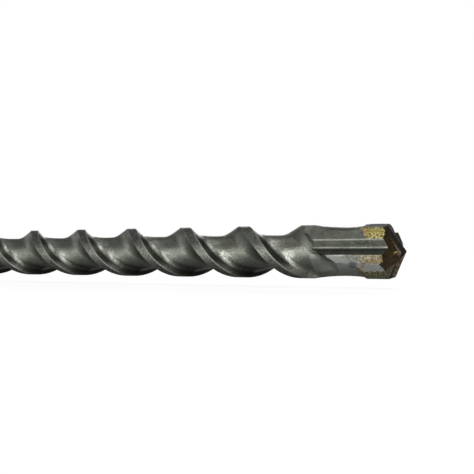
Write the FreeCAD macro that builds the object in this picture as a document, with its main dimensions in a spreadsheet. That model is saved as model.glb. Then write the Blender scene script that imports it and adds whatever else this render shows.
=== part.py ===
import FreeCAD, Part
import math
import os
import re
import Sketcher
from FreeCAD import Placement, Rotation, Vector

# Hammer drill bit, one piece of drilling tool in the 14 mm size, 340 mm long.
# The axis runs along X: shank end at the origin, carbide tip at +X, +Z up.
# Roll angles are measured about the axis from -Y towards +Z.

os.makedirs("parts", exist_ok=True)
doc = FreeCAD.newDocument("hammer_drill_bit")


# Sizes in millimetres and degrees
SIZES = [
    # shank, turned from bar, with the grooves that the chuck holds and drives
    ("shank_diameter", "18"),
    ("shank_length", "130"),
    ("end_face_radius", "3.5"),
    ("end_round_length", "5.5"),
    ("end_round_radius", "12"),
    ("cone_length", "6.5"),
    ("weld_stub_length", "1.5"),
    ("drive_width", "4.2"),
    ("drive_depth", "3"),
    ("drive_corner", "1.2"),
    ("drive_length", "77"),
    ("drive_roll_one", "-7"),
    ("drive_roll_two", "-59"),
    ("drive_roll_three", "153"),
    ("lock_width", "7.2"),
    ("lock_depth", "2.6"),
    ("lock_corner", "2.4"),
    ("lock_start", "16.5"),
    ("lock_end", "56"),
    ("lock_roll", "73"),
    ("groove_disc_radius", "24"),
    ("lock_stop_radius", "4.5"),
    # neck and two-start flutes
    ("flute_diameter", "13.6"),
    ("neck_step", "0.1"),
    ("flute_lead", "36.74"),
    ("cutter_mouth_across", "6.57"),
    ("cutter_over", "0.8"),
    ("cutter_floor_depth", "2.58"),
    ("steep_mouth_depth", "0.48"),
    ("steep_foot_depth", "2.16"),
    ("steep_foot_across", "4.23"),
    ("steep_floor_across", "3.15"),
    ("steep_fillet", "1.8"),
    ("floor_crown_radius", "25"),
    ("gentle_floor_depth", "2.58"),
    ("gentle_floor_across", "1.64"),
    ("gentle_fillet", "3.6"),
    ("gentle_foot_depth", "2.24"),
    ("gentle_foot_across", "3.15"),
    ("gentle_mouth_depth", "0.75"),
    ("cutter_radius", "9"),
    ("cutter_leave_angle", "80"),
    ("flute_first", "168.2"),
    ("flute_last", "318.4"),
    ("flute_last_roll", "-45"),
    # head
    ("overall_length", "340"),
    ("carbide_proud", "0.2"),
    ("point_height", "3.7"),
    ("waist_depth", "0.73"),
    ("waist_station", "325"),
    ("head_start", "316"),
    ("head_front_depth", "0.05"),
    ("collar_start", "329.8"),
    ("collar_ramp", "0.5"),
    ("collar_foot_rise", "0.3"),
    ("front_below_tip", "1.7"),
    ("front_cone_height", "2.8"),
    ("front_top_radius", "1.2"),
    ("flats_start", "311"),
    ("notch_start", "317.3"),
    ("notch_depth", "2.6"),
    ("notch_half_angle", "52"),
    ("notch_root_radius", "0.6"),
    ("notch_roll", "11.3"),
    ("upper_flat_roll", "43"),
    ("upper_flat_depth", "0.9"),
    ("lower_flat_roll", "-19.5"),
    ("lower_flat_depth", "0.8"),
    # carbide cutters and their braze
    ("main_thickness", "2"),
    ("main_roll", "64.7"),
    ("side_thickness", "2"),
    ("side_roll", "-34.3"),
    ("side_inner_radius", "1.75"),
    ("side_drop", "1.15"),
    ("side_slope", "0.5"),
    ("plate_side_height", "4.7"),
    ("braze_gap", "0.2"),
    ("main_bevel", "0.9"),
    ("side_bevel_across", "1.7"),
    ("side_bevel_down", "0.9"),
]

# Sizes that follow from the ones above
DERIVED = [
    ("shank_radius", "shank_diameter / 2"),
    ("flute_radius", "flute_diameter / 2"),
    ("neck_radius", "flute_radius - neck_step"),
    ("head_radius", "flute_radius + carbide_proud"),
    ("cone_end", "shank_length + cone_length"),
    ("cone_step", "shank_radius - neck_radius"),
    ("cone_blend_radius", "(cone_length ^ 2 + cone_step ^ 2) / (2 * cone_step)"),
    ("weld_station", "cone_end + weld_stub_length"),
    ("shoulder_station", "overall_length - point_height"),
    ("front_station", "overall_length - front_below_tip"),
    ("rim_station", "front_station - front_cone_height"),
    ("plate_bottom", "shoulder_station - plate_side_height"),
    ("slot_bottom", "plate_bottom - braze_gap"),
    ("waist_run", "waist_station - head_start"),
    ("waist_radius", "flute_radius - waist_depth"),
    ("waist_blend_radius", "(waist_run ^ 2 + waist_depth ^ 2) / (2 * waist_depth)"),
    ("collar_foot_radius", "waist_radius + collar_foot_rise"),
    ("collar_blend_radius", "((collar_start - waist_station) ^ 2 + collar_foot_rise ^ 2) / (2 * collar_foot_rise)"),
    ("head_front_radius", "flute_radius - head_front_depth"),
    ("upper_flat_radius", "flute_radius - upper_flat_depth"),
    ("lower_flat_radius", "flute_radius - lower_flat_depth"),
    ("notch_vertex_radius", "flute_radius - notch_depth"),
    ("notch_root_across", "notch_root_radius * cos(notch_half_angle)"),
    ("notch_root_height", "notch_vertex_radius + notch_root_across / tan(notch_half_angle)"),
    ("notch_mouth_radius", "flute_radius + 1"),
    ("notch_mouth_half", "(notch_mouth_radius - notch_vertex_radius) * tan(notch_half_angle)"),
    ("flute_land_start", "flute_first - 5"),
    ("flute_run", "flute_last - flute_first"),
    ("helix_angle", "atan(3.14159265 * flute_diameter / flute_lead) / 1 deg"),
    ("main_slot_half", "main_thickness / 2 + braze_gap"),
    ("side_slot_half", "side_thickness / 2 + braze_gap"),
    ("main_width", "2 * sqrt(head_radius ^ 2 - main_thickness ^ 2 / 4)"),
    ("past_head", "head_radius + 1"),
    ("side_reach", "sqrt(head_radius ^ 2 - side_thickness ^ 2 / 4)"),
    ("side_top", "overall_length - side_drop + side_inner_radius * side_slope"),
]

sheet = doc.addObject("Spreadsheet::Sheet", "sizes")
for row, (alias, value) in enumerate(SIZES + DERIVED, 1):
    formula = value if row <= len(SIZES) else "=" + value
    sheet.set("A%d" % row, alias.replace("_", " "))
    sheet.set("B%d" % row, formula)
    sheet.setAlias("B%d" % row, alias)
doc.recompute()


def size(alias):
    return float(sheet.get(alias))


# Drawing helpers
def linked(formula):
    """The same formula for use outside the sheet."""
    return re.sub("[a-z]+(_[a-z]+)+", "sizes.\\g<0>", formula)


def worth(formula):
    """Present value of a sheet formula."""
    sheet.set("D1", "=" + formula)
    doc.recompute([sheet])
    value = sheet.get("D1")
    sheet.clear("D1")
    return float(getattr(value, "Value", value))


def arc_between(start, end, radius, side):
    """Arc from start to end, its centre to the left of the way for side 1, to the right for -1."""
    chord = end - start
    normal = Vector(-chord.y, chord.x, 0).normalize()
    centre = (start + end) * 0.5 + normal * side * math.sqrt(radius ** 2 - chord.Length ** 2 / 4)
    first, last = (start, end) if side > 0 else (end, start)
    angle_first = math.atan2(first.y - centre.y, first.x - centre.x)
    angle_last = math.atan2(last.y - centre.y, last.x - centre.x)
    if angle_last < angle_first:
        angle_last += 2 * math.pi
    return Part.ArcOfCircle(Part.Circle(centre, Vector(0, 0, 1), radius), angle_first, angle_last)


def constrain(sketch, *terms):
    return sketch.addConstraint(Sketcher.Constraint(*terms))


def pin_point(sketch, geometry, point, across, up):
    """Tie one end of a line or arc to two sheet formulas."""
    for kind, formula in (("DistanceX", across), ("DistanceY", up)):
        index = constrain(sketch, kind, -1, 1, geometry, point, worth(formula))
        sketch.setExpression("Constraints[%d]" % index, linked(formula))


def draw_outline(sketch, corners, arcs=None):
    """Closed outline through corners given as formulas. arcs is {leg: (radius, side)}."""
    arcs = arcs or {}
    points = [Vector(worth(across), worth(up), 0) for across, up in corners]
    begins, closes = {}, {}
    for leg, start in enumerate(points):
        end = points[(leg + 1) % len(points)]
        begins[leg], closes[leg] = 1, 2
        if leg in arcs:
            radius, side = arcs[leg]
            sketch.addGeometry(arc_between(start, end, worth(radius), side))
            if side < 0:
                begins[leg], closes[leg] = 2, 1
        else:
            sketch.addGeometry(Part.LineSegment(start, end))
    for leg in range(len(points)):
        after = (leg + 1) % len(points)
        constrain(sketch, "Coincident", leg, closes[leg], after, begins[after])
    for leg, (across, up) in enumerate(corners):
        pin_point(sketch, leg, begins[leg], across, up)
    for leg, (radius, side) in arcs.items():
        index = constrain(sketch, "Radius", leg, worth(radius))
        sketch.setExpression("Constraints[%d]" % index, linked(radius))


def draw_axis(sketch, up):
    """Level construction line at the given height, to turn a cutter about."""
    line = sketch.addGeometry(Part.LineSegment(Vector(-10, worth(up), 0), Vector(10, worth(up), 0)), True)
    pin_point(sketch, line, 1, "-10", up)
    pin_point(sketch, line, 2, "10", up)


def new_body(name):
    body = doc.addObject("PartDesign::Body", name)
    body.Label = name
    return body


def new_sketch(body, name, plane, station=None, roll=None):
    """Sketch on an origin plane. On the YZ plane it sits at a station, its up direction at a roll."""
    sketch = body.newObject("Sketcher::SketchObject", name)
    support = [part for part in body.Origin.OriginFeatures if part.Role == plane][0]
    sketch.AttachmentSupport = [(support, "")]
    sketch.MapMode = "FlatFace"
    if station:
        sketch.AttachmentOffset = Placement(Vector(0, 0, worth(station)), Rotation(Vector(0, 0, 1), 90 - worth(roll)))
        sketch.setExpression("AttachmentOffset.Base.z", linked(station))
        sketch.setExpression("AttachmentOffset.Rotation.Angle", linked("90 - (%s)" % roll))
    return sketch


def revolve(body, name, sketch, cut=False, axis="H_Axis"):
    feature = body.newObject("PartDesign::Groove" if cut else "PartDesign::Revolution", name)
    feature.Profile = sketch
    feature.ReferenceAxis = (sketch, [axis])
    feature.Angle = 360
    return feature


def pocket(body, name, sketch, length):
    feature = body.newObject("PartDesign::Pocket", name)
    feature.Profile = sketch
    feature.setExpression("Length", linked(length))
    return feature


# Shank: 18 mm bar with a rounded striking end, a cone down to the neck and a stub for the weld
def make_shank():
    body = new_body("shank")
    turned = new_sketch(body, "shank_outline", "XZ_Plane")
    draw_outline(
        turned,
        [
            ("0", "0"),
            ("0", "end_face_radius"),
            ("end_round_length", "shank_radius"),
            ("shank_length", "shank_radius"),
            ("cone_end", "neck_radius"),
            ("weld_station", "neck_radius"),
            ("weld_station", "0"),
        ],
        {1: ("end_round_radius", -1), 3: ("cone_blend_radius", 1)},
    )
    revolve(body, "shank_turned", turned)
    for index, roll in enumerate(("drive_roll_one", "drive_roll_two", "drive_roll_three"), 1):
        mill_groove(body, "drive_%d" % index, roll, "drive", "0 - 1", "drive_length")
    for index, roll in enumerate(("lock_roll", "lock_roll + 180"), 1):
        mill_groove(body, "lock_%d" % index, roll, "lock", "lock_start", "lock_end")
    return body


def mill_groove(body, name, roll, kind, start, end):
    """Groove with rounded floor corners. A disc cutter leaves it at the end station."""
    floor = "shank_radius - %s_depth" % kind
    stops = [(end, floor + " + groove_disc_radius")]
    if kind == "lock":
        stops.append((start, floor + " + lock_stop_radius"))
    for index, (station, axis_height) in enumerate(stops, 1):
        section = new_sketch(body, "%s_section_%d" % (name, index), "YZ_Plane", station, roll)
        half = "%s_width / 2" % kind
        corner = "%s_corner" % kind
        draw_outline(
            section,
            [
                ("0 - " + half, "shank_radius + 1"),
                ("0 - " + half, floor + " + " + corner),
                ("%s - %s" % (corner, half), floor),
                ("%s - %s" % (half, corner), floor),
                (half, floor + " + " + corner),
                (half, "shank_radius + 1"),
            ],
            {1: (corner, 1), 3: (corner, 1)},
        )
        draw_axis(section, axis_height)
        if index == 1:
            pocket(body, name + "_run", section, "%s - (%s)" % (end, start))
        revolve(body, "%s_stop_%d" % (name, index), section, cut=True, axis="Axis0")


# Blank of the fluted section: neck, flute diameter and waisted head, with flats and dust notches
def make_blank():
    body = doc.addObject("PartDesign::Body", "fluted_blank")
    turned = new_sketch(body, "blank_outline", "XZ_Plane")
    draw_outline(
        turned,
        [
            ("weld_station", "0"),
            ("weld_station", "neck_radius"),
            ("flute_land_start", "neck_radius"),
            ("flute_land_start + 1", "flute_radius"),
            ("head_start", "flute_radius"),
            ("waist_station", "waist_radius"),
            ("collar_start", "collar_foot_radius"),
            ("collar_start + collar_ramp", "head_front_radius"),
            ("rim_station", "head_front_radius"),
            ("front_station", "front_top_radius"),
            ("front_station", "0"),
        ],
        {4: ("waist_blend_radius", 1), 5: ("collar_blend_radius", 1)},
    )
    revolve(body, "blank_turned", turned)
    cuts = []
    for name in ("upper_flat", "lower_flat"):
        flat = new_sketch(body, name + "_section", "YZ_Plane", "front_station + 1", name + "_roll")
        low, high = name + "_radius", name + "_radius + 3"
        draw_outline(flat, [("0 - 5", low), ("5", low), ("5", high), ("0 - 5", high)])
        cuts.append(pocket(body, name, flat, "front_station + 1 - flats_start"))
    notch = new_sketch(body, "notch_section", "YZ_Plane", "front_station + 1", "notch_roll")
    draw_outline(
        notch,
        [
            ("0 - notch_mouth_half", "notch_mouth_radius"),
            ("0 - notch_root_across", "notch_root_height"),
            ("notch_root_across", "notch_root_height"),
            ("notch_mouth_half", "notch_mouth_radius"),
        ],
        {1: ("notch_root_radius", 1)},
    )
    cuts.append(pocket(body, "dust_notch", notch, "front_station + 1 - notch_start"))
    pair = body.newObject("PartDesign::PolarPattern", "head_cuts")
    pair.Originals = cuts
    pair.Axis = (turned, ["H_Axis"])
    pair.Angle = 360
    pair.Occurrences = 2
    body.Tip = pair
    return body


# Cutting tool for one flute, laid out along Z from the head end, its first point on the X side.
# The form cutter's section follows the helix, and leaves at both ends on the cutter's own circle.
def make_flute_cutter():
    helix = doc.addObject("Part::Helix", "flute_path")
    helix.setExpression("Pitch", linked("flute_lead"))
    helix.setExpression("Height", linked("flute_run"))
    helix.setExpression("Radius", linked("flute_radius"))
    section = across_sketch(
        "flute_section",
        [
            ("cutter_over", "cutter_mouth_across"),
            ("0 - steep_mouth_depth", "cutter_mouth_across"),
            ("0 - steep_foot_depth", "steep_foot_across"),
            ("0 - cutter_floor_depth", "steep_floor_across"),
            ("0 - gentle_floor_depth", "0 - gentle_floor_across"),
            ("0 - gentle_foot_depth", "0 - gentle_foot_across"),
            ("0 - gentle_mouth_depth", "0 - cutter_mouth_across"),
            ("cutter_over", "0 - cutter_mouth_across"),
        ],
        {2: ("steep_fillet", 1), 3: ("floor_crown_radius", -1), 4: ("gentle_fillet", 1)},
    )
    sweep = doc.addObject("Part::Sweep", "flute_sweep")
    sweep.Sections = [section]
    sweep.Spine = (helix, ["Edge1"])
    sweep.Frenet = True
    sweep.Solid = True
    ends = []
    for side, turn in (("head", "cutter_leave_angle"), ("neck", "0 - cutter_leave_angle")):
        end = doc.addObject("Part::Revolution", "flute_end_" + side)
        end.Source = section
        end.Solid = True
        end.Axis = Vector(0, worth("0 - cos(helix_angle)"), worth("sin(helix_angle)"))
        end.setExpression("Axis.y", linked("0 - cos(helix_angle)"))
        end.setExpression("Axis.z", linked("sin(helix_angle)"))
        end.setExpression("Base.x", linked("flute_radius - cutter_floor_depth + cutter_radius"))
        end.setExpression("Angle", linked(turn))
        ends.append(end)
    ends[1].setExpression("Placement.Base.z", linked("flute_run"))
    ends[1].setExpression("Placement.Rotation.Angle", linked("360 * flute_run / flute_lead"))
    return [sweep] + ends


def across_sketch(name, corners, arcs):
    """Sketch in the plane square to the helix at its first point: X is outwards, Y across the flute."""
    sketch = doc.addObject("Sketcher::SketchObject", name)
    sketch.Placement = Placement(Vector(worth("flute_radius"), 0, 0), Rotation(Vector(1, 0, 0), 180 - worth("helix_angle")))
    sketch.setExpression("Placement.Base.x", linked("flute_radius"))
    sketch.setExpression("Placement.Rotation.Angle", linked("180 - helix_angle"))
    draw_outline(sketch, corners, arcs)
    return sketch


def make_slot(name, roll, half_width, inner):
    """Box along a roll direction, from the slot bottom to past the front."""
    box = doc.addObject("Part::Box", name)
    box.Placement = Placement(Vector(0, 0, 0), Rotation(Vector(1, 0, 0), 90 - worth(roll)))
    box.setExpression("Placement.Rotation.Angle", linked("90 - (%s)" % roll))
    box.setExpression("Placement.Base.x", linked("slot_bottom"))
    box.setExpression("Placement.Base.y", linked("0 - %s * sin(%s) - (%s) * cos(%s)" % (half_width, roll, inner, roll)))
    box.setExpression("Placement.Base.z", linked("(%s) * sin(%s) - %s * cos(%s)" % (inner, roll, half_width, roll)))
    box.setExpression("Length", linked("overall_length - slot_bottom"))
    box.setExpression("Width", linked("2 * %s" % half_width))
    box.setExpression("Height", linked("past_head - (%s)" % inner))
    return box


def fuse(name, shapes):
    joined = doc.addObject("Part::MultiFuse", name)
    joined.Shapes = shapes
    return joined


def common(name, shapes):
    shared = doc.addObject("Part::MultiCommon", name)
    shared.Shapes = shapes
    return shared


def cut(name, base, tool):
    result = doc.addObject("Part::Cut", name)
    result.Base = base
    result.Tool = tool
    result.Label = name
    return result


# Fluted section: the blank less the two flutes and the three slots that hold the cutters
def make_fluted_section(blank, slots):
    first = fuse("flute_cutter_one", make_flute_cutter())
    first.setExpression("Placement.Rotation.Angle", linked("flute_last_roll - 90"))
    second = doc.addObject("Part::Compound", "flute_cutter_two")
    second.Links = [first]
    second.Placement = Placement(Vector(0, 0, 0), Rotation(Vector(0, 0, 1), 180))
    flutes = fuse("flute_cutters", [first, second])
    flutes.Placement = Placement(Vector(worth("flute_last"), 0, 0), Rotation(Vector(0, 1, 0), -90))
    flutes.setExpression("Placement.Base.x", linked("flute_last"))
    return cut("fluted_section", blank, fuse("section_cutters", [flutes] + slots))


# Carbide cutters: flat plates with a sloping top, bevelled to a narrow cutting edge.
# The main plate is bevelled on both sides, a side plate only behind its leading face.
def make_cutter(name, roll, corners, thickness, sides, across, down):
    body = new_body(name)
    outline = new_sketch(body, name + "_outline", "XZ_Plane")
    draw_outline(outline, corners)
    plate = body.newObject("PartDesign::Pad", name + "_plate")
    plate.Profile = outline
    plate.Midplane = True
    plate.setExpression("Length", linked(thickness))
    doc.recompute()
    chamfer = body.newObject("PartDesign::Chamfer", name + "_bevels")
    chamfer.Base = (plate, sloping_edges(plate.Shape, sides))
    chamfer.ChamferType = "Two distances"
    chamfer.setExpression("Size", linked(across))
    chamfer.setExpression("Size2", linked(down))
    body.Placement = Placement(Vector(0, 0, 0), Rotation(Vector(1, 0, 0), 90 - worth(roll)))
    body.setExpression("Placement.Rotation.Angle", linked("90 - (%s)" % roll))
    return body


def sloping_edges(shape, sides):
    """Names of the long edges of the sloping top faces, on side 1 that trails or side -1 that leads."""
    names = []
    for index, edge in enumerate(shape.Edges, 1):
        start, end = edge.Vertexes[0].Point, edge.Vertexes[-1].Point
        run = end - start
        if abs(run.x) > 0.1 and abs(run.z) > 0.1 and math.copysign(1, start.y) in sides:
            names.append("Edge%d" % index)
    return names


MAIN_OUTLINE = [
    ("plate_bottom", "0 - main_width / 2"),
    ("shoulder_station", "0 - main_width / 2"),
    ("overall_length", "0"),
    ("shoulder_station", "main_width / 2"),
    ("plate_bottom", "main_width / 2"),
]
SIDE_OUTLINE = [
    ("plate_bottom", "side_inner_radius"),
    ("plate_bottom", "side_reach"),
    ("side_top - side_reach * side_slope", "side_reach"),
    ("side_top - side_inner_radius * side_slope", "side_inner_radius"),
]

shank = make_shank()
blank = make_blank()
main_slot = make_slot("main_slot", "main_roll", "main_slot_half", "0 - past_head")
main_cutter = make_cutter(
    "main_cutter", "main_roll", MAIN_OUTLINE, "main_thickness", (-1, 1), "main_bevel", "main_bevel"
)
pieces = {
    "shank": shank,
    "main_cutter": main_cutter,
    "main_braze": cut("main_braze", common("main_fill", [blank, main_slot]), main_cutter),
}
slots = [main_slot]
for number, roll in ((1, "side_roll"), (2, "side_roll + 180")):
    cutter = make_cutter(
        "side_cutter_%d" % number, roll, SIDE_OUTLINE, "side_thickness", (1,), "side_bevel_across", "side_bevel_down"
    )
    slot = make_slot("side_slot_%d" % number, roll, "side_slot_half", "0")
    fill = common("side_fill_%d" % number, [blank, slot])
    taken = fuse("side_fill_taken_%d" % number, [main_slot, cutter])
    slots.append(slot)
    pieces["side_cutter_%d" % number] = cutter
    pieces["side_braze_%d" % number] = cut("side_braze_%d" % number, fill, taken)
pieces["fluted_section"] = make_fluted_section(blank, slots)
doc.recompute()

# Checks and export
for feature in doc.Objects:
    if "Invalid" in feature.State or "Error" in feature.State:
        raise RuntimeError("%s did not compute" % feature.Name)
for name, piece in pieces.items():
    shape = piece.Shape
    if shape.isNull() or not shape.isValid() or len(shape.Solids) != 1:
        raise RuntimeError("%s is not one valid solid" % name)
    shape.exportStep("parts/%s.step" % name)
    box = shape.optimalBoundingBox()
    print("%-15s %9.2f mm3  x %7.2f to %7.2f" % (name, shape.Volume, box.XMin, box.XMax))
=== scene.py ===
import math
import bpy
from mathutils import Matrix, Vector


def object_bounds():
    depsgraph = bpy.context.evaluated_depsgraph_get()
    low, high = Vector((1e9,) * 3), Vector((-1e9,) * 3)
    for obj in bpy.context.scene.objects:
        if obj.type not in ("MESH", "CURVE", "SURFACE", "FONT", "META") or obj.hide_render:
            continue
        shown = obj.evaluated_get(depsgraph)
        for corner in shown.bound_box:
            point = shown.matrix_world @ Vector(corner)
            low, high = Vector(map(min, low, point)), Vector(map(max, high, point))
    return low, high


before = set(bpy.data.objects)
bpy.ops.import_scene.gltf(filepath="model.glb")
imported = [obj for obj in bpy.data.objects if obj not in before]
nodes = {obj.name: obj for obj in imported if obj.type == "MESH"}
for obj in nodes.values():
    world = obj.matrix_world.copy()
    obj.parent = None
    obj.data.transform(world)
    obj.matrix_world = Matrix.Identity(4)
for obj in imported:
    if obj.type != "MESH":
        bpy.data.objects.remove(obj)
cad_box = [list(corner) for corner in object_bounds()]


# Shank: 18 mm bar of alloy steel, turned to a rounded striking end and a cone,
# with driving and locking grooves milled into it. It is hardened and shot-blasted,
# which leaves a fine dimpled grey skin. Its edges are painted brighter, partly rubbed wear
# and partly painted highlight, and its grooves and cone are darkened with painted shade.
DIMPLES_PER_MM = 2.4
SHANK_GREY = (0.5, 0.51, 0.465, 1)
SHANK_DARK = (0.3, 0.308, 0.278, 1)
SHANK_WEAR_AND_HIGHLIGHT = (0.6, 0.6, 0.57, 1)
PAINTED_SHADE_DARK = (0.07, 0.07, 0.06, 1)

# fades in millimetres of the painted shade: by radius into the grooves, and by station to their end and
# along the cone
INTO_GROOVE = (8.85, 8.0)
GROOVES_END = (100.0, 90.0)
CONE_START = (129.6, 130.2)
CONE_END = (137.6, 136.6)


def feed(tree, node, inputs):
    """Values and links go to a node's sockets by name or number."""
    for key, value in inputs.items():
        if isinstance(value, bpy.types.NodeSocket):
            tree.links.new(value, node.inputs[key])
        else:
            node.inputs[key].default_value = value
    return node


def add(tree, kind, inputs=None, **settings):
    """New shader node."""
    made = tree.nodes.new("ShaderNode" + kind)
    for name, value in settings.items():
        setattr(made, name, value)
    return feed(tree, made, inputs or {})


def calc(tree, operation, *values):
    return add(tree, "Math", dict(enumerate(values)), operation=operation).outputs[0]


def vector_calc(tree, operation, *values, output="Vector"):
    made = add(tree, "VectorMath", dict(enumerate(values)), operation=operation)
    return made.outputs[output]


def product(tree, *masks):
    """Where all the masks are."""
    result = masks[0]
    for mask in masks[1:]:
        result = calc(tree, "MULTIPLY", result, mask)
    return result


def rise(tree, value, low, high, start=0.0, end=1.0):
    """Smooth step of a value from low to high."""
    steps = {0: value, 1: low, 2: high, 3: start, 4: end}
    return add(tree, "MapRange", steps, interpolation_type="SMOOTHSTEP").outputs[0]


def blend(tree, factor, first, second):
    """Colour between first and second."""
    return add(tree, "Mix", {0: factor, 6: first, 7: second}, data_type="RGBA").outputs[2]


def paint(tree, colour, mask, strength, over):
    """Colour laid over another one where the mask is."""
    return blend(tree, product(tree, mask, strength), colour, over)


def noise(tree, point, per_mm, detail, roughness):
    pattern = {"Vector": point, "Scale": per_mm, "Detail": detail, "Roughness": roughness}
    return add(tree, "TexNoise", pattern).outputs["Fac"]


def new_group(name, inputs, outputs):
    """Shader group with inputs given as {name: value}, and outputs as {name: kind}."""
    group = bpy.data.node_groups.new(name, "ShaderNodeTree")
    for label, value in inputs.items():
        kind = "NodeSocketFloat" if isinstance(value, float) else "NodeSocketVector"
        socket = group.interface.new_socket(label, in_out="INPUT", socket_type=kind)
        socket.default_value = value
    for label, kind in outputs.items():
        group.interface.new_socket(label, in_out="OUTPUT", socket_type="NodeSocket" + kind)
    return group, group.nodes.new("NodeGroupInput"), group.nodes.new("NodeGroupOutput")


def make_bit_place():
    """Where a point is: in millimetres, and as station, roll from -90 to 90 on either side and radius.

    Forward and Outward say how far its face looks to the tip and away from the axis.
    """
    outputs = {"Place": "Vector"}
    outputs.update(dict.fromkeys(("Station", "Roll", "Radius", "Forward", "Outward"), "Float"))
    group, _, out = new_group("bit_place", {}, outputs)
    metres = add(group, "TexCoord").outputs["Object"]
    place = add(group, "VectorMath", {0: metres, "Scale": 1000.0}, operation="SCALE").outputs[0]
    part = add(group, "SeparateXYZ", {0: place}).outputs
    to_front = calc(group, "MULTIPLY", part["Y"], -1.0)
    roll = calc(group, "DEGREES", calc(group, "ARCTAN2", part["Z"], to_front))
    radial = vector_calc(group, "MULTIPLY", place, (0.0, 1.0, 1.0))
    direction = vector_calc(group, "NORMALIZE", radial)
    normal = add(group, "NewGeometry").outputs["Normal"]
    outward = vector_calc(group, "DOT_PRODUCT", direction, normal, output="Value")
    feed(group, out, {
        "Place": place,
        "Station": part["X"],
        "Roll": calc(group, "WRAP", roll, 90.0, -90.0),
        "Radius": vector_calc(group, "LENGTH", radial, output="Value"),
        "Forward": add(group, "SeparateXYZ", {0: normal}).outputs["X"],
        "Outward": calc(group, "ABSOLUTE", outward),
    })
    return group


def make_shot_blast():
    """Fine dimples of shot-blasted steel, with soft light and dark patches."""
    inputs = {"Place": (0.0, 0.0, 0.0), "Dimples per mm": 3.0}
    group, given, out = new_group("shot_blast", inputs, {"Height": "Float", "Tone": "Float"})
    point, per_mm = given.outputs["Place"], given.outputs["Dimples per mm"]
    dimples = add(group, "TexVoronoi", {"Vector": point, "Scale": per_mm}, feature="SMOOTH_F1")
    height = product(group, dimples.outputs["Distance"], 0.6)
    height = calc(group, "ADD", height, product(group, noise(group, point, 5.0, 2.0, 0.55), 0.5))
    patches = product(group, noise(group, point, 0.35, 4.0, 0.6), 0.6)
    specks = product(group, noise(group, point, 2.6, 2.0, 0.6), 0.4)
    tone = rise(group, calc(group, "ADD", patches, specks), 0.33, 0.67)
    feed(group, out, {"Height": height, "Tone": tone})
    return group


bit_place = make_bit_place()
shot_blast = make_shot_blast()


def new_material(name):
    """Material with its shader, and the place group already in it."""
    material = bpy.data.materials.new(name)
    material.use_nodes = True
    tree = material.node_tree
    place = add(tree, "Group", node_tree=bit_place).outputs
    return material, tree, tree.nodes["Principled BSDF"], place


def edge_mask(tree, rounding):
    """Bright on sharp edges, dark on flat ground, and the normal that rounds those edges."""
    rounded = add(tree, "Bevel", {"Radius": rounding}, samples=6).outputs[0]
    true_normal = add(tree, "NewGeometry").outputs["Normal"]
    match = vector_calc(tree, "DOT_PRODUCT", rounded, true_normal, output="Value")
    return rise(tree, match, 0.998, 0.955), rounded


def add_relief(tree, shader, height, depth, strength, rounded=None):
    """Bump of a depth in metres, on top of the rounded edges if they are given."""
    relief = {"Height": height, "Distance": depth, "Strength": strength}
    if rounded:
        relief["Normal"] = rounded
    feed(tree, shader, {"Normal": add(tree, "Bump", relief).outputs[0]})


shank_steel, tree, shader, place = new_material("shank_steel")
blasting = {"Place": place["Place"], "Dimples per mm": DIMPLES_PER_MM}
blast = add(tree, "Group", blasting, node_tree=shot_blast).outputs
edges, rounded = edge_mask(tree, 0.0003)
speckle = rise(tree, noise(tree, place["Place"], 1.8, 2.0, 0.7), 0.38, 0.6, 0.4, 1.0)
tone = product(tree, rise(tree, blast["Tone"], 0.0, 1.0, 0.5, 1.0), speckle)
colour = blend(tree, tone, SHANK_DARK, SHANK_GREY)
# painted shade in the driving and locking grooves, fading out towards their end
near_end = rise(tree, place["Station"], *GROOVES_END)
groove_shade = product(tree, rise(tree, place["Radius"], *INTO_GROOVE), near_end)
colour = paint(tree, colour, groove_shade, 0.8, PAINTED_SHADE_DARK)
# edges painted brighter: partly rubbed wear, partly painted highlight
colour = paint(tree, colour, edges, 0.7, SHANK_WEAR_AND_HIGHLIGHT)
# painted shade on the cone
cone_shade = rise(tree, place["Station"], *CONE_START)
cone_shade = product(tree, cone_shade, rise(tree, place["Station"], *CONE_END))
colour = paint(tree, colour, cone_shade, 0.5, PAINTED_SHADE_DARK)
roughness = rise(tree, blast["Tone"], 0.0, 1.0, 0.5, 0.4)
feed(tree, shader, {"Base Color": colour, "Roughness": roughness, "Metallic": 0.9})
add_relief(tree, shader, blast["Height"], 0.00007, 0.8, rounded)
nodes["shank"].material_slots[0].material = shank_steel


# Fluted section: one alloy steel bar with a bare neck, two spiral flutes and a waisted head,
# friction-welded to the shank. The flutes are milled or rolled in, then it is hardened and blasted.
# The head is spotted by the heat of brazing, and braze metal has run over it beside the slots.
FLUTE_GREY = (0.31, 0.325, 0.28, 1)
FLUTE_DARK = (0.17, 0.18, 0.15, 1)
FLUTE_PAINTED_HIGHLIGHT = (0.54, 0.56, 0.5, 1)
SHADE_AND_SPECK_DARK = (0.02, 0.021, 0.016, 1)
LAND_GREY = (0.155, 0.165, 0.14, 1)
LAND_PALE = (0.34, 0.36, 0.31, 1)
EDGE_WEAR_AND_HIGHLIGHT = (0.42, 0.43, 0.38, 1)

# along the bit, in millimetres
FLUTE_LEAD = 36.74
LAND_PHASE = 9.2
NECK_END = (166.0, 160.0)
FLUTES_START = (166.0, 172.0)
FLUTES_END = (314.0, 310.0)
HEAD_START = (314.0, 318.0)
LANDS_END = (322.0, 318.0)
MILLING_START = (316.0, 317.0)

# distance across a flute: land from 0 to 2.9, steep wall to 5, floor to 13.4, gentle wall to 18.4
LAND_EDGE = (2.78, 2.95, 0.07)
STEEP_WALL = (3.1, 4.4, 0.3)
STEEP_FOOT = (3.3, 4.2)
HIGHLIGHT_FROM = (4.1, 5.3)
HIGHLIGHT_TO = (10.0, 5.8)
GENTLE_WALL = (15.2, 18.0)
NEXT_LAND = (18.37, 18.2)
LAND_RADIUS = (6.68, 6.78)


def window(tree, value, low, high, soft):
    """One inside a range, zero outside it."""
    inside = rise(tree, value, low - soft, low + soft)
    return product(tree, inside, rise(tree, value, high + soft, high - soft))


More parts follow.
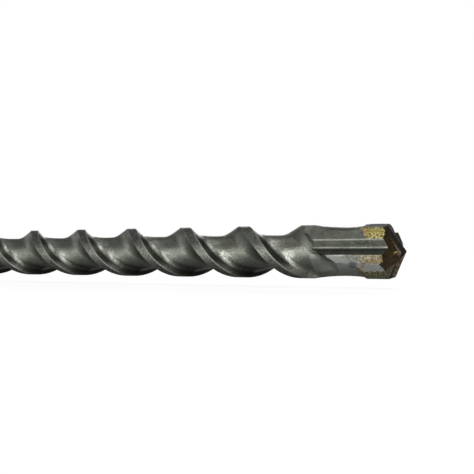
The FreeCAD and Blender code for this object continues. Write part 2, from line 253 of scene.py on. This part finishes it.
def two_tone(tree, value, low, high, tones):
    """Colour that goes from the first of two tones to the second."""
    return blend(tree, rise(tree, value, low, high), *tones)


flute_steel, tree, shader, place = new_material("flute_steel")
point, station, roll = place["Place"], place["Station"], place["Roll"]
blasting = {"Place": point, "Dimples per mm": DIMPLES_PER_MM}
blast = add(tree, "Group", blasting, node_tree=shot_blast).outputs
edges, rounded = edge_mask(tree, 0.0002)
colour = blend(tree, blast["Tone"], FLUTE_DARK, FLUTE_GREY)

turned = product(tree, roll, FLUTE_LEAD / 360.0)
across = calc(tree, "SUBTRACT", calc(tree, "ADD", station, turned), LAND_PHASE)
across = calc(tree, "FLOORED_MODULO", across, FLUTE_LEAD / 2.0)
fluted = product(tree, rise(tree, station, *FLUTES_START), rise(tree, station, *FLUTES_END))

# floor, painted highlight beside the steep wall along a wandering border
wander = calc(tree, "SUBTRACT", noise(tree, point, 0.6, 4.0, 0.6), 0.5)
highlight_across = calc(tree, "ADD", across, product(tree, wander, 2.0))
painted_highlight = product(tree, fluted, rise(tree, highlight_across, *HIGHLIGHT_FROM), rise(tree, highlight_across, *HIGHLIGHT_TO))
grain = noise(tree, point, 1.7, 2.0, 0.7)
painted_highlight = product(tree, painted_highlight, rise(tree, blast["Tone"], 0.0, 1.0, 0.5, 1.0))
colour = paint(tree, colour, painted_highlight, rise(tree, grain, 0.4, 0.56, 0.2, 1.0), FLUTE_PAINTED_HIGHLIGHT)

# painted shade on both walls, wider and darker at the foot of the steep one where it turns down
steep_wall_shade = product(tree, fluted, window(tree, across, *STEEP_WALL))
colour = paint(tree, colour, steep_wall_shade, 0.85, SHADE_AND_SPECK_DARK)
gentle_wall_shade = product(tree, rise(tree, across, *GENTLE_WALL), rise(tree, across, *NEXT_LAND))
colour = paint(tree, colour, product(tree, fluted, gentle_wall_shade), 0.6, SHADE_AND_SPECK_DARK)
past_foot = calc(tree, "SUBTRACT", across, rise(tree, roll, 20.0, -80.0, 3.6, 8.6))
foot_shade = product(tree, fluted, rise(tree, across, *STEEP_FOOT), rise(tree, past_foot, 3.0, -2.2))
colour = paint(tree, colour, foot_shade, rise(tree, roll, 30.0, -60.0, 0.1, 0.8), SHADE_AND_SPECK_DARK)

# lands, speckled, with a painted highlight on the leading edge, and the edges of the head brightened,
# partly rubbed wear and partly painted highlight
on_land = product(tree, rise(tree, place["Radius"], *LAND_RADIUS), rise(tree, station, *LANDS_END))
colour = paint(tree, colour, on_land, 0.6, LAND_GREY)
# the speckle on the lands uses the same dark as the painted shade
land_tone = two_tone(tree, grain, 0.36, 0.6, (SHADE_AND_SPECK_DARK, LAND_PALE))
colour = paint(tree, colour, on_land, 0.35, land_tone)
leading_edge_highlight = product(tree, fluted, window(tree, across, *LAND_EDGE))
head_edge_wear_and_highlight = product(tree, edges, rise(tree, station, *HEAD_START, 0.3, 0.9))
colour = blend(tree, calc(tree, "MAXIMUM", leading_edge_highlight, head_edge_wear_and_highlight), colour, EDGE_WEAR_AND_HIGHLIGHT)

# milled head: painted highlight on the flat beside the lower slot, the body lighter below it, painted
# shade on the notch wall and upper flat
FLAT_HIGHLIGHT = (0.52, 0.54, 0.49, 1)
BODY_PALE = (0.5, 0.53, 0.48, 1)
UPPER_SHADE = (0.06, 0.065, 0.052, 1)
RIM_HIGHLIGHT = (0.85, 0.88, 0.8, 1)

outward = place["Outward"]
milled = rise(tree, station, *MILLING_START)
on_flat = product(tree, milled, rise(tree, outward, 0.8, 0.9))
lower_flat_highlight = product(tree, on_flat, window(tree, roll, -27.0, -8.0, 1.5))
colour = paint(tree, colour, lower_flat_highlight, 0.9, FLAT_HIGHLIGHT)
below = product(tree, milled, rise(tree, roll, -22.0, -32.0), rise(tree, outward, 0.7, 0.85))
colour = paint(tree, colour, below, 0.8, BODY_PALE)
in_notch = product(tree, milled, rise(tree, outward, 0.85, 0.75))
notch_wall_shade = product(tree, in_notch, window(tree, roll, -10.0, 10.5, 0.8))
colour = paint(tree, colour, notch_wall_shade, 0.85, SHADE_AND_SPECK_DARK)
upper_flat_shade = product(tree, on_flat, window(tree, roll, 30.0, 80.0, 3.0))
colour = paint(tree, colour, upper_flat_shade, 0.35, UPPER_SHADE)

# painted shade in the crease where the upper flat ends against the last land, and a painted highlight on
# the notch's upper rim
slanted = calc(tree, "ADD", station, product(tree, roll, 0.082))
crease_shade = product(tree, window(tree, slanted, 318.9, 319.9, 0.4), window(tree, roll, 24.0, 52.0, 3.0))
colour = paint(tree, colour, crease_shade, 0.75, SHADE_AND_SPECK_DARK)
rim_highlight = product(tree, rise(tree, station, 317.6, 318.2), window(tree, roll, 28.0, 29.7, 0.4))
rim_highlight = product(tree, rim_highlight, rise(tree, grain, 0.3, 0.5, 0.4, 1.0))
colour = paint(tree, colour, rim_highlight, 0.75, RIM_HIGHLIGHT)

# spots of heat tint and scorched flux: range and softness of station and of roll, specks, colour
VIOLET_SPOT = ((327.3, 329.2, 0.5), (-39.0, -25.0, 3.0), (0.07, 0.065, 0.12, 1))
SPECKLED_SPOTS = (
    ((326.8, 330.4, 0.6), (-22.0, -8.0, 2.0), (0.45, 0.6), (0.16, 0.17, 0.07, 1)),
    ((329.0, 331.2, 0.4), (-64.0, -32.0, 4.0), (0.4, 0.6), (0.32, 0.17, 0.08, 1)),
    ((328.0, 333.5, 1.0), (12.0, 28.0, 2.0), (0.5, 0.62), (0.03, 0.035, 0.03, 1)),
)

fine = noise(tree, point, 2.2, 4.0, 0.7)
along, round_it, tint = VIOLET_SPOT
spot = product(tree, window(tree, station, *along), window(tree, roll, *round_it))
colour = paint(tree, colour, spot, 0.7, tint)
for along, round_it, specks, tint in SPECKLED_SPOTS:
    spot = product(tree, window(tree, station, *along), window(tree, roll, *round_it))
    colour = paint(tree, colour, spot, rise(tree, fine, *specks), tint)

# braze metal run out beside the two slots and onto the collar, ending in a ragged line
GOLD = ((0.16, 0.1, 0.05, 1), (0.7, 0.66, 0.27, 1))
COPPER = (0.5, 0.31, 0.17, 1)
PALE_GOLD = ((0.34, 0.19, 0.09, 1), (0.62, 0.6, 0.42, 1))
GREEN_SPECK = (0.2, 0.22, 0.12, 1)
MOTTLE = ((0.1, 0.105, 0.08, 1), (0.75, 0.7, 0.43, 1))
UPPER_ROLL = (28.5, 66.0, 1.0)
LOWER_ROLL = (-29.0, -8.0, 1.0)
COLLAR_ROLL = (-42.0, -46.0)
UPPER_START = 329.2
LOWER_START = 330.5
COLLAR_START = 330.6
MM_PER_DEGREE = 0.0716

jag = product(tree, calc(tree, "SUBTRACT", fine, 0.5), 2.6)
slant = product(tree, calc(tree, "SUBTRACT", UPPER_ROLL[1], roll), MM_PER_DEGREE)
upper_start = calc(tree, "ADD", calc(tree, "ADD", slant, jag), UPPER_START)
upper = product(tree, window(tree, roll, *UPPER_ROLL), calc(tree, "GREATER_THAN", station, upper_start))
lower_start = calc(tree, "ADD", jag, LOWER_START)
lower = product(tree, window(tree, roll, *LOWER_ROLL), calc(tree, "GREATER_THAN", station, lower_start))
collar_start = calc(tree, "ADD", jag, COLLAR_START)
collar = product(tree, rise(tree, roll, *COLLAR_ROLL), calc(tree, "GREATER_THAN", station, collar_start))

sides = rise(tree, place["Forward"], 0.35, 0.2)
on_lobe = product(tree, rise(tree, place["Radius"], 5.2, 5.5), rise(tree, outward, 0.62, 0.8), sides)
flecks = noise(tree, point, 1.8, 3.0, 0.75)
gold = two_tone(tree, flecks, 0.42, 0.56, GOLD)
gold = paint(tree, gold, rise(tree, station, 332.6, 331.0), rise(tree, fine, 0.42, 0.56), COPPER)
pale_gold = two_tone(tree, flecks, 0.44, 0.54, PALE_GOLD)
pale_gold = two_tone(tree, fine, 0.56, 0.62, (pale_gold, GREEN_SPECK))
colour = paint(tree, colour, upper, on_lobe, gold)
colour = paint(tree, colour, lower, on_lobe, pale_gold)
colour = paint(tree, colour, collar, on_lobe, two_tone(tree, fine, 0.42, 0.58, MOTTLE))

# conical front, burnt brown by the flux and darkened further with painted shade, greener on one side of
# each slot and sooty on the far side
FLUX_BROWN_AND_SHADE = ((0.03, 0.017, 0.006, 1), (0.055, 0.042, 0.01, 1))
GREEN_GREY = ((0.06, 0.06, 0.035, 1), (0.3, 0.29, 0.18, 1))
SOOT = (0.012, 0.009, 0.008, 1)

front = product(tree, rise(tree, place["Forward"], 0.35, 0.6), rise(tree, station, 334.5, 335.2))
far_side = rise(tree, add(tree, "SeparateXYZ", {0: point}).outputs["Y"], -1.0, 1.0)
greener = calc(tree, "MAXIMUM", rise(tree, roll, -37.0, -46.0), rise(tree, roll, 70.0, 76.0))
greener = product(tree, greener, rise(tree, far_side, 1.0, 0.0, 0.1, 1.0))
front_flux_and_shade = two_tone(tree, noise(tree, point, 0.9, 4.0, 0.65), 0.4, 0.6, FLUX_BROWN_AND_SHADE)
front_flux_and_shade = blend(tree, greener, front_flux_and_shade, two_tone(tree, fine, 0.4, 0.6, GREEN_GREY))
front_flux_and_shade = paint(tree, front_flux_and_shade, far_side, 0.85, SOOT)
colour = blend(tree, front, colour, front_flux_and_shade)

# the bare neck is smoother and turned in rings, the run-out braze stands up and the front is dull
bare = product(tree, rise(tree, station, *NECK_END), on_land)
roughness = rise(tree, blast["Tone"], 0.0, 1.0, 0.48, 0.33)
roughness = calc(tree, "SUBTRACT", roughness, product(tree, bare, 0.1))
roughness = calc(tree, "MAXIMUM", roughness, product(tree, front, 0.75))
feed(tree, shader, {
    "Base Color": colour,
    "Roughness": roughness,
    "Metallic": rise(tree, front, 0.0, 1.0, 0.95, 0.1),
    "Specular IOR Level": 0.2,
})
turning = {"Vector": point, "Scale": 0.7, "Distortion": 0.6, "Detail": 2.0}
rings = add(tree, "TexWave", turning, bands_direction="X").outputs["Fac"]
height = calc(tree, "ADD", blast["Height"], product(tree, rings, bare, 0.8))
run_out = product(tree, calc(tree, "MAXIMUM", upper, lower), on_lobe)
height = calc(tree, "ADD", height, product(tree, run_out, calc(tree, "ADD", 1.5, fine)))
add_relief(tree, shader, height, 0.0001, 0.9, rounded)
nodes["fluted_section"].material_slots[0].material = flute_steel


# Cutters: plates of sintered tungsten carbide, ground to a roof-shaped edge and brazed into the head.
# Their outer sides are grey and finely pitted, and the side plates' outer sides are painted lighter, a
# painted highlight.
# A film of braze covers the flanks beside the steel, and the ground bevels are blackened by baked flux
# and painted shade in front, and browned behind.
MAIN_ROLL = 64.7
MAIN_OUTER = ((0.3, 0.3, 0.32, 1), (0.48, 0.48, 0.49, 1))
GOLD_FILM = ((0.2, 0.15, 0.06, 1), (0.62, 0.6, 0.28, 1))
# black of baked flux, deepened with painted shade where the main plate's near bevel looks dark
FLUX_AND_SHADE_BLACK = ((0.006, 0.004, 0.004, 1), (0.025, 0.014, 0.009, 1))
GOLD_BROWN = ((0.09, 0.07, 0.032, 1), (0.3, 0.21, 0.13, 1))
SIDE_ROLL = -34.3
# side plates: the same carbide, its outside painted lighter as a painted highlight
SIDE_OUTER_LIT = ((0.46, 0.48, 0.46, 1), (0.78, 0.81, 0.78, 1))
PALE_FILM = ((0.3, 0.29, 0.25, 1), (0.5, 0.53, 0.51, 1))
RED_BROWN = ((0.022, 0.012, 0.005, 1), (0.05, 0.03, 0.01, 1))
WORN_EDGE = (0.3, 0.26, 0.2, 1)


def make_carbide(name, plate_roll, outer, film, leading, trailing):
    """Carbide plate that stands at a roll, with two tones for its outside, film and either bevel."""
    material, tree, shader, place = new_material(name)
    point, forward = place["Place"], place["Forward"]
    edges, rounded = edge_mask(tree, 0.0001)
    pits = noise(tree, point, 4.0, 4.0, 0.6)
    stains = noise(tree, point, 1.1, 4.0, 0.65)
    colour = two_tone(tree, pits, 0.38, 0.62, outer)

    # film on the flanks, scorched near the tip on the far side
    flank = product(tree, rise(tree, place["Outward"], 0.6, 0.35), rise(tree, forward, 0.5, 0.3))
    film_colour = two_tone(tree, stains, 0.42, 0.58, film)
    colour = paint(tree, colour, flank, rise(tree, stains, 0.3, 0.4), film_colour)
    far_side = rise(tree, add(tree, "SeparateXYZ", {0: point}).outputs["Y"], 0.0, 1.0)
    scorched = product(tree, flank, far_side, rise(tree, place["Station"], 332.5, 334.5))
    colour = paint(tree, colour, scorched, 0.85, FLUX_AND_SHADE_BLACK[1])

    # bevels, told apart by the side of the plate's middle that they are on
    turn = calc(tree, "RADIANS", calc(tree, "SUBTRACT", place["Roll"], plate_roll))
    aside = product(tree, calc(tree, "SINE", turn), place["Radius"])
    first = two_tone(tree, stains, 0.45, 0.65, leading)
    second = two_tone(tree, stains, 0.4, 0.6, trailing)
    bevel = rise(tree, forward, 0.3, 0.5)
    colour = blend(tree, bevel, colour, two_tone(tree, aside, -0.05, 0.05, (first, second)))
    colour = paint(tree, colour, edges, 0.3, WORN_EDGE)

    polish = rise(tree, pits, 0.3, 0.7, 0.45, 0.3)
    feed(tree, shader, {
        "Base Color": colour,
        "Roughness": calc(tree, "MAXIMUM", polish, product(tree, bevel, 0.6)),
        "Metallic": rise(tree, bevel, 0.0, 1.0, 0.85, 0.1),
        "Specular IOR Level": 0.25,
    })
    add_relief(tree, shader, pits, 0.00003, 0.5, rounded)
    return material


main_carbide = make_carbide("main_carbide", MAIN_ROLL, MAIN_OUTER, GOLD_FILM, FLUX_AND_SHADE_BLACK, GOLD_BROWN)
side_carbide = make_carbide("side_carbide", SIDE_ROLL, SIDE_OUTER_LIT, PALE_FILM, FLUX_BROWN_AND_SHADE, RED_BROWN)
nodes["main_cutter"].material_slots[0].material = main_carbide
for name in ("side_cutter_1", "side_cutter_2"):
    nodes[name].material_slots[0].material = side_carbide


# Braze: silver-copper filler that joins the plates to the walls of their slots, flush with the steel.
# It is dull gold at the sides, and scorched brown in front with bright flecks near the middle.
BRAZE_GOLD = ((0.3, 0.16, 0.07, 1), (0.6, 0.5, 0.22, 1))
BRAZE_SCORCHED = (0.05, 0.036, 0.012, 1)
MIDDLE = (2.9, 2.2)

braze, tree, shader, place = new_material("braze")
lumps = noise(tree, place["Place"], 2.5, 4.0, 0.65)
fleck = product(tree, rise(tree, place["Radius"], *MIDDLE), rise(tree, lumps, 0.46, 0.52))
scorched = product(tree, rise(tree, place["Forward"], 0.35, 0.6), calc(tree, "SUBTRACT", 1.0, fleck))
colour = two_tone(tree, lumps, 0.35, 0.65, BRAZE_GOLD)
feed(tree, shader, {
    "Base Color": paint(tree, colour, scorched, 0.92, BRAZE_SCORCHED),
    "Roughness": rise(tree, lumps, 0.3, 0.7, 0.5, 0.3),
    "Metallic": 1.0,
})
add_relief(tree, shader, lumps, 0.00005, 0.6)
for name in ("main_braze", "side_braze_1", "side_braze_2"):
    nodes[name].material_slots[0].material = braze


# Floor and background: plain pale ground that the bit rests on, and plain white all round.
# The floor keeps the bit's soft shadow and brightens to white away from it. Mirrored in the steel
# its glow is held back close under the bit, a painted shadow, and the surroundings dim with height.
WHITE = (1.0, 1.0, 1.0, 1.0)
FLOOR_GREY = (0.45, 0.45, 0.45, 1)
FLOOR_SIZE = 60.0
FLOOR_MIDDLE = (0.17, 0.0, -0.0091)

bpy.ops.object.select_all(action="DESELECT")
bpy.ops.mesh.primitive_plane_add(size=FLOOR_SIZE, location=FLOOR_MIDDLE)
floor = bpy.context.object
floor.name = "floor"
ground = bpy.data.materials.new("floor")
ground.use_nodes = True
tree = ground.node_tree
path = add(tree, "LightPath").outputs
mirrored = calc(tree, "MAXIMUM", path["Is Glossy Ray"], path["Is Transmission Ray"])
from_middle = add(tree, "TexCoord").outputs["Object"]
away = vector_calc(tree, "LENGTH", from_middle, output="Value")
seen = product(tree, path["Is Camera Ray"], rise(tree, away, 0.2, 1.2, 0.8, 1.0))
aside = calc(tree, "ABSOLUTE", add(tree, "SeparateXYZ", {0: from_middle}).outputs["Y"])
# painted shadow: the glow seen in reflections fades out close under the bit
reflected = product(tree, mirrored, rise(tree, aside, 0.006, 0.04))
feed(tree, tree.nodes["Principled BSDF"], {
    "Base Color": FLOOR_GREY,
    "Roughness": 0.9,
    "Specular IOR Level": 0.1,
    "Emission Color": WHITE,
    "Emission Strength": calc(tree, "MAXIMUM", seen, reflected),
})
floor.data.materials.append(ground)

world = bpy.data.worlds.new("studio")
world.use_nodes = True
tree = world.node_tree
path = add(tree, "LightPath").outputs
mirrored = calc(tree, "MAXIMUM", path["Is Glossy Ray"], path["Is Transmission Ray"])
skyward = add(tree, "SeparateXYZ", {0: add(tree, "TexCoord").outputs["Generated"]}).outputs["Z"]
wall = rise(tree, skyward, 0.06, 0.5, 1.0, 0.12)
strength = calc(tree, "MAXIMUM", product(tree, wall, 0.5), product(tree, mirrored, wall))
strength = calc(tree, "MAXIMUM", strength, path["Is Camera Ray"])
feed(tree, tree.nodes["Background"], {"Color": WHITE, "Strength": strength})
bpy.context.scene.world = world


# Camera: nearly level, looking at the head end from 29 degrees round, as the photograph does.
# Its focal length and the tip's place are measured on the photograph, in pixels.
FRAME_SIZE = 474
FOCAL_PIXELS = 825.0
AZIMUTH = math.radians(29.0)
ELEVATION = math.radians(-0.36)
TIP_PIXEL = (406.7, 251.4)
PIXELS_PER_MM = 4.17
FILM_WIDTH = 36.0

level = Vector((math.sin(AZIMUTH), -math.cos(AZIMUTH), 0.0))
back = level * math.cos(ELEVATION) + Vector((0.0, 0.0, math.sin(ELEVATION)))
right = Vector((math.cos(AZIMUTH), math.sin(AZIMUTH), 0.0))
up = back.cross(right)
distance = FOCAL_PIXELS / PIXELS_PER_MM / 1000.0
shift = (TIP_PIXEL[0] - FRAME_SIZE / 2) / PIXELS_PER_MM / 1000.0
lens = bpy.data.cameras.new("camera")
lens.sensor_width = FILM_WIDTH
lens.lens = FILM_WIDTH * FOCAL_PIXELS / FRAME_SIZE
lens.shift_y = (TIP_PIXEL[1] - FRAME_SIZE / 2) / FRAME_SIZE
lens.clip_start = 0.01
lens.clip_end = 50.0
camera = bpy.data.objects.new("camera", lens)
tip = Vector((cad_box[1][0], 0.0, 0.0))
stand = tip + back * distance - right * shift
camera.matrix_world = Matrix.Translation(stand) @ Matrix((right, up, back)).transposed().to_4x4()
bpy.context.scene.collection.objects.link(camera)
bpy.context.scene.camera = camera


# Lamps: a soft box low in front towards the tip, and two dimmer ones behind and overhead.
# Each is placed and aimed in metres, with its width, height and watts.
SOFT_BOXES = {
    "front_box": ((0.45, -0.85, 0.1), (0.25, 0.0, 0.0), 0.9, 0.2, 4.0),
    "back_box": ((0.1, 0.9, 0.3), (0.2, 0.0, 0.0), 1.0, 0.3, 2.0),
    "top_box": ((0.3, -0.1, 0.9), (0.2, 0.0, 0.0), 0.7, 0.4, 2.0),
}

for name, (position, target, width, height, watts) in SOFT_BOXES.items():
    light = bpy.data.lights.new(name, "AREA")
    light.shape = "RECTANGLE"
    light.size = width
    light.size_y = height
    light.energy = watts
    lamp = bpy.data.objects.new(name, light)
    lamp.location = position
    lamp.rotation_euler = (Vector(target) - Vector(position)).to_track_quat("-Z", "Y").to_euler()
    bpy.context.scene.collection.objects.link(lamp)

bpy.context.scene.view_settings.view_transform = "Standard"
